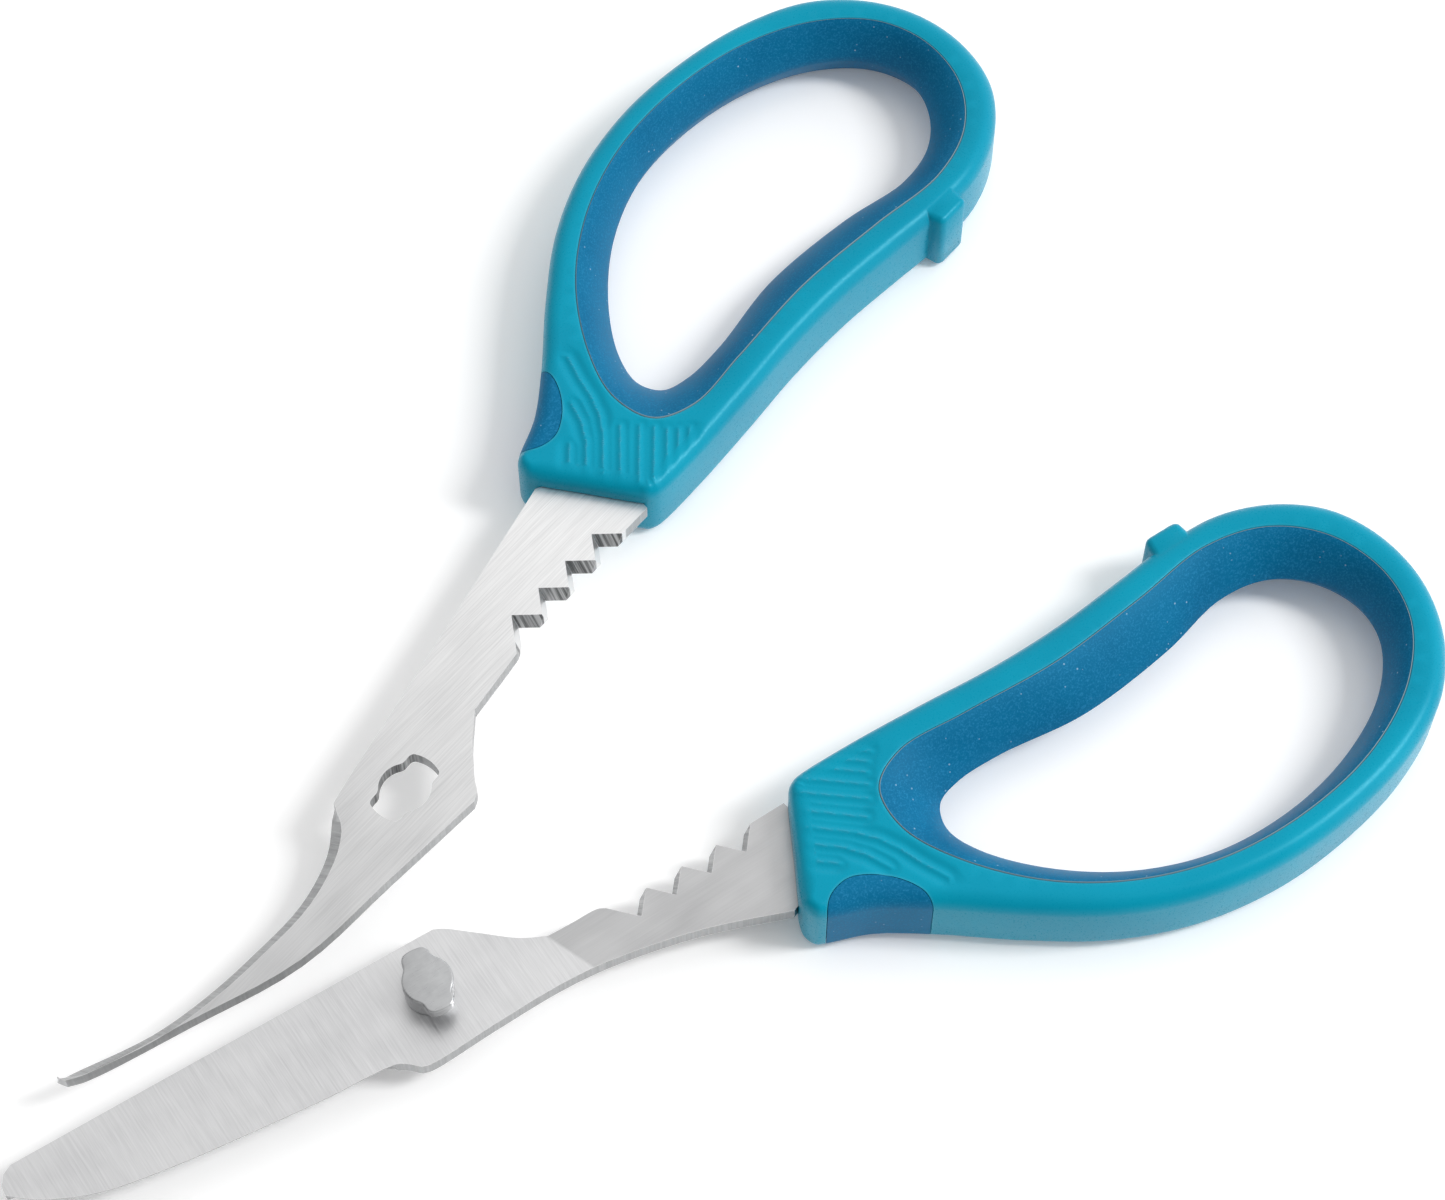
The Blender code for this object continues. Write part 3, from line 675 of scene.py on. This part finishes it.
def rib_tree():
    """Thumb ribs: crest lines stand on the points of a path, and the collar's flat faces sink
    between and beside them."""
    inputs = {"Path": ("Object", None), "Pitch": ("Float", 2.3), "Depth": ("Float", 0.36),
              "Fade": ("Float", 2.4), "Material": ("Material", None)}
    tree, given = new_geometry_tree("thumb_ribs", inputs)
    path = add(tree, "GeometryNodeObjectInfo", {"Object": given["Path"]})
    length = add(tree, "GeometryNodeInputNamedAttribute", {"Name": "rib_length"}, data_type="FLOAT")
    turn = add(tree, "GeometryNodeInputNamedAttribute", {"Name": "rib_turn"}, data_type="FLOAT")
    euler = add(tree, "ShaderNodeCombineXYZ", {"Z": turn.outputs["Attribute"]})
    rotation = add(tree, "FunctionNodeEulerToRotation", {0: euler.outputs[0]})
    position = add(tree, "GeometryNodeInputPosition")
    level = add(tree, "ShaderNodeVectorMath", {0: position.outputs[0], 1: (1.0, 1.0, 0.0)},
                operation="MULTIPLY")
    gaps = []
    for reach in (1.2, -0.6):
        line = add(tree, "GeometryNodeMeshLine",
                   {"Count": 2, "Start Location": (-0.5, 0.0, 0.0), "Offset": (1.0, 0.0, 0.0)})
        long = add(tree, "ShaderNodeMath", {0: length.outputs["Attribute"], 1: reach},
                   operation="ADD")
        scale = add(tree, "ShaderNodeCombineXYZ", {"X": long.outputs[0], "Y": 1.0, "Z": 1.0})
        crests = add(tree, "GeometryNodeInstanceOnPoints",
                     {"Points": path.outputs["Geometry"], "Instance": line.outputs["Mesh"],
                      "Rotation": rotation.outputs[0], "Scale": scale.outputs[0]})
        real = add(tree, "GeometryNodeRealizeInstances", {"Geometry": crests.outputs[0]})
        near = add(tree, "GeometryNodeProximity",
                   {0: real.outputs[0], "Sample Position": level.outputs[0]}, target_element="EDGES")
        gaps.append(near.outputs["Distance"])
    across = add(tree, "ShaderNodeMath", {0: gaps[0], 1: given["Pitch"]}, operation="DIVIDE",
                 use_clamp=True)
    wave = add(tree, "ShaderNodeMath", {0: across.outputs[0], 1: math.pi}, operation="MULTIPLY")
    sine = add(tree, "ShaderNodeMath", {0: wave.outputs[0]}, operation="SINE")
    hollow = add(tree, "ShaderNodeMath", {0: sine.outputs[0], 1: 0.75}, operation="POWER")
    fade = add(tree, "ShaderNodeMapRange", {"Value": gaps[1], "From Min": given["Fade"],
                                            "From Max": 0.6, "To Min": 0.0, "To Max": 1.0},
               interpolation_type="SMOOTHSTEP")
    normal = add(tree, "GeometryNodeInputNormal")
    facing = add(tree, "ShaderNodeSeparateXYZ", {0: normal.outputs[0]})
    flat = add(tree, "ShaderNodeMath", {0: facing.outputs["Z"], 1: 5.0}, operation="POWER")
    sunk = hollow.outputs[0]
    for factor in (fade.outputs[0], flat.outputs[0], given["Depth"], -1.0):
        sunk = add(tree, "ShaderNodeMath", {0: sunk, 1: factor}, operation="MULTIPLY").outputs[0]
    offset = add(tree, "ShaderNodeCombineXYZ", {"Z": sunk})
    moved = add(tree, "GeometryNodeSetPosition",
                {"Geometry": given["Geometry"], "Offset": offset.outputs[0]})
    real = add(tree, "GeometryNodeRealizeInstances", {"Geometry": moved.outputs[0]})
    done = add(tree, "GeometryNodeSetMaterial",
               {"Geometry": real.outputs[0], "Material": given["Material"]})
    add(tree, "NodeGroupOutput", {0: done.outputs[0]})
    return tree, inputs


def rib_path(side):
    """One point for each thumb rib, with the rib's length and direction."""
    ribs = np.array(RIBS)
    spots = np.column_stack([ribs[:, 0], ribs[:, 1] * side, np.zeros(len(ribs))])
    path = new_piece("rib_path", spots, [])
    for name, values in (("rib_length", ribs[:, 2]), ("rib_turn", np.radians(ribs[:, 3]) * side)):
        data = path.data.attributes.new(name, "FLOAT", "POINT").data
        data.foreach_set("value", values.astype(np.float32))
    return path


def finger_grip(half, seam, hole, material):
    """The soft lining: flush at the seam and swelling to a tight crest half way up the hole."""
    steps = 26
    rows = [(-1.0, 0.0)]
    for k in range(1, steps):
        rise = math.sin(math.pi * (k / steps - 0.5))
        rows.append((rise, (1 - abs(rise) ** GRIP_CREST) ** GRIP_SHOULDER))
    rows.append((1.0, 0.0))
    rings = [(MID_PLANE + MID_PLANE * rise, seam + (hole - seam) * swell) for rise, swell in rows]
    lip = (hole - seam) / np.linalg.norm(hole - seam, axis=1)[:, None] * SEAM_ROUND
    rings[0], rings[-1] = (0.0, seam + lip), (HANDLE_TOP, seam + lip)
    rings.append((HANDLE_TOP - 0.05, seam + lip * 0.3))
    rings.append((HANDLE_TOP - SEAM_ROUND, seam))
    rings.append((SEAM_ROUND, seam))
    rings.append((0.05, seam + lip * 0.3))
    count = len(seam)
    points = np.concatenate([np.column_stack([ring, np.full(count, z)]) for z, ring in rings])
    faces = []
    for k in range(len(rings)):
        low, high = k * count, (k + 1) % len(rings) * count
        for i in range(count):
            j = (i + 1) % count
            faces.append((low + i, high + i, high + j, low + j))
    piece = new_piece(f"{half.prefix}_finger_grip_soft", points, faces, material)
    rim = np.repeat([k == 0 or k >= steps for k in range(len(rings))], count).astype(np.float32)
    piece.data.attributes.new("seam_rim", "FLOAT", "POINT").data.foreach_set("value", rim)
    half.finish(piece, "soft_grip", 40, f"{half.prefix}_finger_grip")


def build_handle(half, blade_loop, plastic, rubber, ribs):
    side = half.side
    seam = for_side(spline(SEAM_OUTLINE, 20), side)
    hole = for_side(spline(HOLE_OUTLINE, 20), side)
    pad_loop = for_side(spline(PAD_OUTLINE, 8), side)
    points, faces = handle_slab(side, seam)
    shell = new_piece(f"{half.prefix}_handle_moulding", points, faces)
    pad = new_piece(f"{half.prefix}_outer_pad_soft", points, faces, rubber)
    boolean(pad, "INTERSECT", prism("pad_shape", pad_loop, -CUTTER_REACH, HANDLE_TOP + CUTTER_REACH))
    tree, inputs = ribs
    path = rib_path(side)
    inputs = {**inputs, "Path": ("Object", path), "Material": ("Material", plastic)}
    run_geometry_tree(shell, tree, inputs)
    bpy.data.objects.remove(path)
    boolean(shell, "UNION", closing_tab(side))
    low, high = half.blade_low - MOULD_GAP, half.blade_low + BLADE_THICKNESS + MOULD_GAP
    boolean(shell, "DIFFERENCE",
            prism("pad_room", inset(pad_loop, -PAD_SEAM), -CUTTER_REACH, HANDLE_TOP + CUTTER_REACH),
            prism("tang_room", inset(blade_loop, -MOULD_GAP), low, high))
    half.finish(shell, "hard_plastic", 32, f"{half.prefix}_handle_shell")
    half.finish(pad, "soft_grip", 32, f"{half.prefix}_outer_pad")
    finger_grip(half, inset(seam, SEAM_WIDTH), hole, rubber)


def notch_tree():
    """Nut-cracking notches: square cutters, turned on edge and tipped, stand at an even pitch
    along the blade's edge and are cut out of it."""
    inputs = {"Count": ("Int", NOTCH_COUNT), "First": ("Vector", (FIRST_NOTCH_AT, 0.0, 0.0)),
              "Pitch": ("Vector", (NOTCH_SPACING, 0.0, 0.0)), "Tip": ("Vector", (0.0, 0.0, 0.0)),
              "Size": ("Float", 8.0), "Material": ("Material", None)}
    tree, given = new_geometry_tree("notch_row", inputs)
    size = add(tree, "ShaderNodeCombineXYZ", {"X": given["Size"], "Y": given["Size"], "Z": 14.0})
    cube = add(tree, "GeometryNodeMeshCube", {"Size": size.outputs[0]})
    half_size = add(tree, "ShaderNodeMath", {0: given["Size"], 1: -0.5}, operation="MULTIPLY")
    shift = add(tree, "ShaderNodeCombineXYZ", {"X": half_size.outputs[0], "Y": half_size.outputs[0]})
    cornered = add(tree, "GeometryNodeTransform",
                   {"Geometry": cube.outputs["Mesh"], "Translation": shift.outputs[0]})
    on_edge = add(tree, "GeometryNodeTransform", {"Geometry": cornered.outputs[0],
                                                  "Rotation": (0.0, 0.0, math.radians(45.0))})
    row = add(tree, "GeometryNodeMeshLine", {"Count": given["Count"],
                                             "Start Location": given["First"],
                                             "Offset": given["Pitch"]})
    tipped = add(tree, "FunctionNodeEulerToRotation", {0: given["Tip"]})
    cutters = add(tree, "GeometryNodeInstanceOnPoints",
                  {"Points": row.outputs["Mesh"], "Instance": on_edge.outputs[0],
                   "Rotation": tipped.outputs[0]})
    real = add(tree, "GeometryNodeRealizeInstances", {"Geometry": cutters.outputs[0]})
    cut = add(tree, "GeometryNodeMeshBoolean", {"Mesh 1": given["Geometry"], 1: real.outputs[0]},
              operation="DIFFERENCE", solver="EXACT")
    cut.inputs["Self Intersection"].default_value = True
    done = add(tree, "GeometryNodeSetMaterial",
               {"Geometry": cut.outputs["Mesh"], "Material": given["Material"]})
    add(tree, "NodeGroupOutput", {0: done.outputs[0]})
    return tree, inputs


def blade_blank(name, outline, edge, low, outward):
    """The flat blade with its cutting edge bevelled on the outer face."""
    steps = 5
    loop = spline(outline, steps, sharp_corners(outline, 24.0))
    along = np.concatenate([[0], np.cumsum(np.linalg.norm(np.diff(loop, axis=0), axis=1))])
    first, last = along[edge[0] * steps], along[edge[1] * steps]
    share = np.clip(np.minimum(along - first, last - along) / BEVEL_RAMP + 0.25, 0, 1)
    share[(along < first - 1e-6) | (along > last + 1e-6)] = 0.0
    narrowed = inset(loop, share * BEVEL_WIDTH)
    inner, outer = (low, low + BLADE_THICKNESS) if outward > 0 else (low + BLADE_THICKNESS, low)
    levels = [(inner, loop), (inner + outward * EDGE_LAND, loop), (outer, narrowed)]
    levels.sort(key=lambda level: level[0])
    return new_piece(name, *stack(levels)), loop


def build_blade(half, outline, edge, outward, opening, material, notches):
    """A whole blade. Gives back its outline, which the handle leaves room for."""
    blade, loop = blade_blank(f"{half.prefix}_blade_ground", outline, edge, half.blade_low, outward)
    boolean(blade, "DIFFERENCE", prism("pivot_opening", opening, -1.0, HANDLE_TOP))
    tree, inputs = notches
    middle = half.blade_low + BLADE_THICKNESS / 2
    valley = (NOTCHED_EDGE_AT + (NOTCH_DEPTH_ABOVE + NOTCH_DEPTH_BELOW) / 2) * half.side
    tip = math.atan2(NOTCH_DEPTH_ABOVE - NOTCH_DEPTH_BELOW, BLADE_THICKNESS)
    turn = (-tip, 0.0, 0.0 if half.side > 0 else math.pi)
    inputs = {**inputs, "First": ("Vector", (FIRST_NOTCH_AT, valley, middle)), "Tip": ("Vector", turn),
              "Material": ("Material", material)}
    run_geometry_tree(blade, tree, inputs)
    half.finish(blade, "blade_steel", 25, f"{half.prefix}_blade")
    return loop


def build_stud(half, material):
    """The pivot stud, turned in one piece: crowned riveted tail, shank, neck and keyed head."""
    head = keyed(HEAD_HUB_RADIUS, HEAD_KEY_RADIUS, HEAD_KEY_WIDTH, KEY_DIRECTION, 0.9, 0.6)
    unit = head / np.linalg.norm(head, axis=1)[:, None]
    head_low = HEAD_TOP - HEAD_THICKNESS
    tail_high = WASHER_LOW - BORE_GAP
    levels = [(TAIL_LOW + TAIL_RADIUS * TAIL_CROWN * (1 - math.cos(t)),
               unit * (TAIL_RADIUS * 0.97 * math.sin(t) + 0.05))
              for t in np.linspace(0.2, math.pi / 2, 7)]
    levels += [(tail_high - 0.1, unit * TAIL_RADIUS), (tail_high, unit * (TAIL_RADIUS - 0.1)),
               (tail_high, unit * SHANK_RADIUS), (MID_PLANE + 0.1, unit * SHANK_RADIUS),
               (MID_PLANE + 0.1, unit * (NECK_RADIUS - 0.1)),
               (MID_PLANE + 0.2, unit * NECK_RADIUS), (head_low, unit * NECK_RADIUS),
               (head_low, inset(head, SOFT_EDGE)), (head_low + SOFT_EDGE, head)]
    for t in np.linspace(0, math.pi / 2, 7):
        levels.append((HEAD_TOP - HEAD_ROUND * (1 - math.sin(t)),
                       inset(head, HEAD_ROUND * (1 - math.cos(t)))))
    stud = new_piece("pivot_stud_turned", *stack(levels), material)
    half.finish(stud, "stud_steel", 40, "pivot_stud")


def build_washer(half, material):
    """A stamped washer with softened edges."""
    count = 96
    around, ends = np.arange(count) * 360.0 / count, np.ones(count)
    bore = SHANK_RADIUS + BORE_GAP
    rows = [(WASHER_LOW, WASHER_RADIUS - SOFT_EDGE), (WASHER_LOW + SOFT_EDGE, WASHER_RADIUS),
            (WASHER_HIGH - SOFT_EDGE, WASHER_RADIUS), (WASHER_HIGH, WASHER_RADIUS - SOFT_EDGE),
            (WASHER_HIGH, bore + SOFT_EDGE), (WASHER_HIGH - SOFT_EDGE, bore),
            (WASHER_LOW + SOFT_EDGE, bore), (WASHER_LOW, bore + SOFT_EDGE)]
    points = np.concatenate([np.column_stack([polar(r * ends, around), z * ends]) for z, r in rows])
    faces = []
    for k in range(len(rows)):
        low, high = k * count, (k + 1) % len(rows) * count
        for i in range(count):
            j = (i + 1) % count
            faces.append((low + i, low + j, high + j, high + i))
    washer = new_piece("stud_washer_stamped", points, faces, material)
    half.finish(washer, "stud_steel", 40, "stud_washer")


# Studio


def look_at(obj, eye, target):
    obj.location = eye
    obj.rotation_euler = (Vector(target) - Vector(eye)).to_track_quat("-Z", "Y").to_euler()


def softbox(name, eye, size, watts):
    light = bpy.data.lights.new(name, "AREA")
    light.shape = "RECTANGLE"
    light.size, light.size_y = size
    light.energy = watts
    obj = bpy.data.objects.new(name, light)
    bpy.context.scene.collection.objects.link(obj)
    look_at(obj, eye, (0.0, 0.0, 0.0))


def build_studio():
    """Soft light from the right, a white room that is darker to the front left, white paper
    under the shears, and the camera above and in front of them."""
    scene = bpy.context.scene
    scene.view_settings.view_transform = "Standard"
    scene.view_settings.look = "None"
    world = bpy.data.worlds.new("studio")
    scene.world = world
    world.use_nodes = True
    tree = world.node_tree
    background = tree.nodes["Background"]
    direction = add(tree, "ShaderNodeTexCoord").outputs["Generated"]
    axes = add(tree, "ShaderNodeSeparateXYZ", {0: direction})
    front = add(tree, "ShaderNodeMapRange", {"Value": axes.outputs["Y"], "From Min": -0.9,
                                             "From Max": 0.3, "To Min": 0.3, "To Max": 1.1})
    left = add(tree, "ShaderNodeMapRange", {"Value": axes.outputs["X"], "From Min": -0.9,
                                            "From Max": 0.1, "To Min": 0.35, "To Max": 1.0})
    strength = add(tree, "ShaderNodeMath", {0: front.outputs[0], 1: left.outputs[0]},
                   operation="MULTIPLY")
    tree.links.new(strength.outputs[0], background.inputs["Strength"])
    background.inputs["Color"].default_value = (1.0, 1.0, 1.0, 1.0)

    softbox("key_right", (0.95, -0.05, 1.05), (0.32, 0.5), 10.5)
    softbox("fill_left", (-1.1, 0.2, 0.7), (0.6, 0.9), 0.7)
    softbox("edge_right", (1.2, -0.35, 0.42), (0.5, 1.0), 1.8)

    reach, under = 1.6, -0.0001
    corners = ((-reach, -reach), (reach, -reach), (reach, reach), (-reach, reach))
    floor = new_piece("floor", [(x, y, under) for x, y in corners], [(0, 1, 2, 3)])
    paper = bpy.data.materials.new("matt_white_paper")
    paper.use_nodes = True
    tree = paper.node_tree
    shader = tree.nodes["Principled BSDF"]
    place = add(tree, "ShaderNodeTexCoord").outputs["Object"]
    fibre = add(tree, "ShaderNodeTexNoise", {"Vector": place, "Scale": 40.0, "Detail": 3.0})
    colour = layered(tree, linear("#FAFAFA"), linear("#FFFFFF"), fibre.outputs["Fac"])
    tree.links.new(colour, shader.inputs["Base Color"])
    shader.inputs["Roughness"].default_value = 0.9
    shader.inputs["Specular IOR Level"].default_value = 0.1
    shader.inputs["Emission Color"].default_value = (1.0, 1.0, 1.0, 1.0)
    shader.inputs["Emission Strength"].default_value = 0.1
    floor.data.materials.append(paper)

    camera = bpy.data.objects.new("camera", bpy.data.cameras.new("camera"))
    scene.collection.objects.link(camera)
    camera.data.lens = CAMERA_LENS
    camera.data.sensor_width = CAMERA_SENSOR
    camera.data.clip_start, camera.data.clip_end = 0.01, 10.0
    elevation = math.radians(CAMERA_ELEVATION)
    aim = Vector(CAMERA_AIM)
    back = Vector((0.0, -math.cos(elevation), math.sin(elevation)))
    look_at(camera, aim + back * CAMERA_DISTANCE, aim)
    scene.camera = camera


def main():
    plastic, rubber = moulded_polypropylene(), soft_touch_rubber()
    stud_steel = turned_stud_steel()
    low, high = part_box("pivot_stud")
    stud_axis = ((low.x + high.x) / 2, (low.y + high.y) / 2)
    socket = next(o for o in frame["record"]["physics"]["openings"] if o["name"] == "keyhole_socket")
    low, high = socket["box_m"]
    keyhole_axis = ((low[0] + high[0]) / 2, (low[1] + high[1]) / 2)
    stud_half = Half("stud_half", "stud", -1, stud_axis, STUD_TURN, STUD_BLADE_LOW)
    keyhole_half = Half("keyhole_half", "keyhole", 1, keyhole_axis, KEYHOLE_TURN, KEYHOLE_BLADE_LOW)

    notches, ribs = notch_tree(), rib_tree()
    bore = polar(np.full(72, SHANK_RADIUS + BORE_GAP), np.arange(72) * 5.0)
    steel = ground_blade_steel("ground_blade_steel_stud", 12.0, True, "#DEDEDF", "#B7B7B8",
                               "#858687")
    loop = build_blade(stud_half, STUD_BLADE_OUTLINE, STUD_BLADE_EDGE, -1, bore, steel, notches)
    build_handle(stud_half, loop, plastic, rubber, ribs)
    build_stud(stud_half, stud_steel)
    build_washer(Half("stud_washer", "stud", -1, stud_axis, STUD_TURN, 0.0), stud_steel)

    opening = keyed(KEYHOLE_RADIUS, KEYHOLE_LOBE_RADIUS, KEYHOLE_LOBE_WIDTH, KEYHOLE_DIRECTION,
                    0.5, 0.4)
    steel = ground_blade_steel("ground_blade_steel_keyhole", 10.0, False, "#B4B4B5",
                               "#FAFAFA", "#5A5B5C")
    loop = build_blade(keyhole_half, KEYHOLE_BLADE_OUTLINE, KEYHOLE_BLADE_EDGE, 1, opening, steel,
                       notches)
    build_handle(keyhole_half, loop, plastic, rubber, ribs)
    build_studio()


main()
